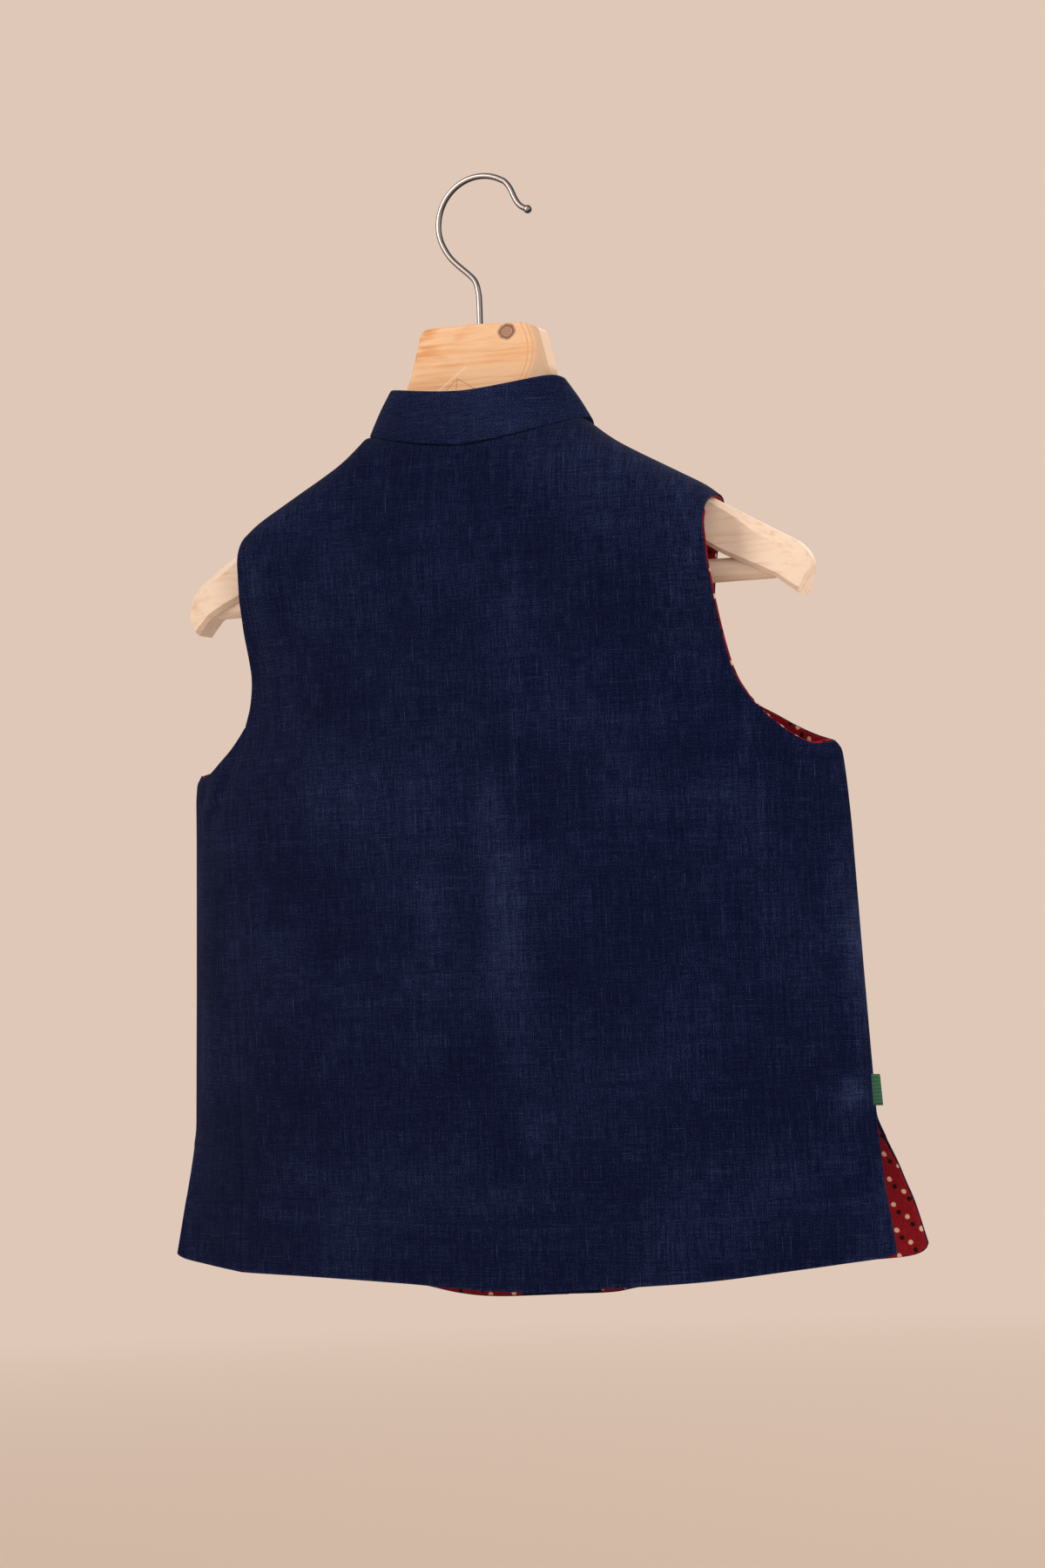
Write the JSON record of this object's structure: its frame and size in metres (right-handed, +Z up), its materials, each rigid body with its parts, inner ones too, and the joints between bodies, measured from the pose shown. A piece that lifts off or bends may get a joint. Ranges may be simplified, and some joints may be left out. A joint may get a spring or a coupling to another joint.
{
  "type": "sleeveless jacket on a wooden hanger",
  "caption": "Lined sleeveless jacket with a stand collar, buttoned front and side vents, hanging from the wire hook of a wooden suit hanger with a trouser bar.",
  "frame": {"origin": "the hang point: the underside of the hook's wire at the top of its loop", "axes": "+X towards the wearer's right, +Y towards the front of the jacket, +Z up"},
  "size_m": [0.499, 0.121, 0.7137],
  "materials": {
    "indigo": "dark indigo handwoven cotton, slubby and a little faded",
    "lining_red": "red cotton lining printed with small cream and black dots",
    "label_green": "green woven tape",
    "pine": "clear lacquered pine",
    "chrome": "polished plated wire",
    "button": "dark, slightly worn"
  },
  "bodies": {
    "root": {"back": "indigo", "side_back_left": "indigo", "side_back_right": "indigo", "front_left": "indigo", "front_right": "indigo", "facing_left": "indigo", "facing_right": "indigo", "collar": "indigo", "lining_back": "lining_red", "lining_side_back_left": "lining_red", "lining_side_back_right": "lining_red", "lining_front_left": "lining_red", "lining_front_right": "lining_red", "button_1": "button", "button_2": "button", "button_3": "button", "button_4": "button", "button_5": "button", "hanger_block": "pine", "hanger_arm_left": "pine", "hanger_arm_right": "pine", "trouser_bar": "pine", "hook": "chrome", "label_loop": "label_green"}
  },
  "joints": []
}
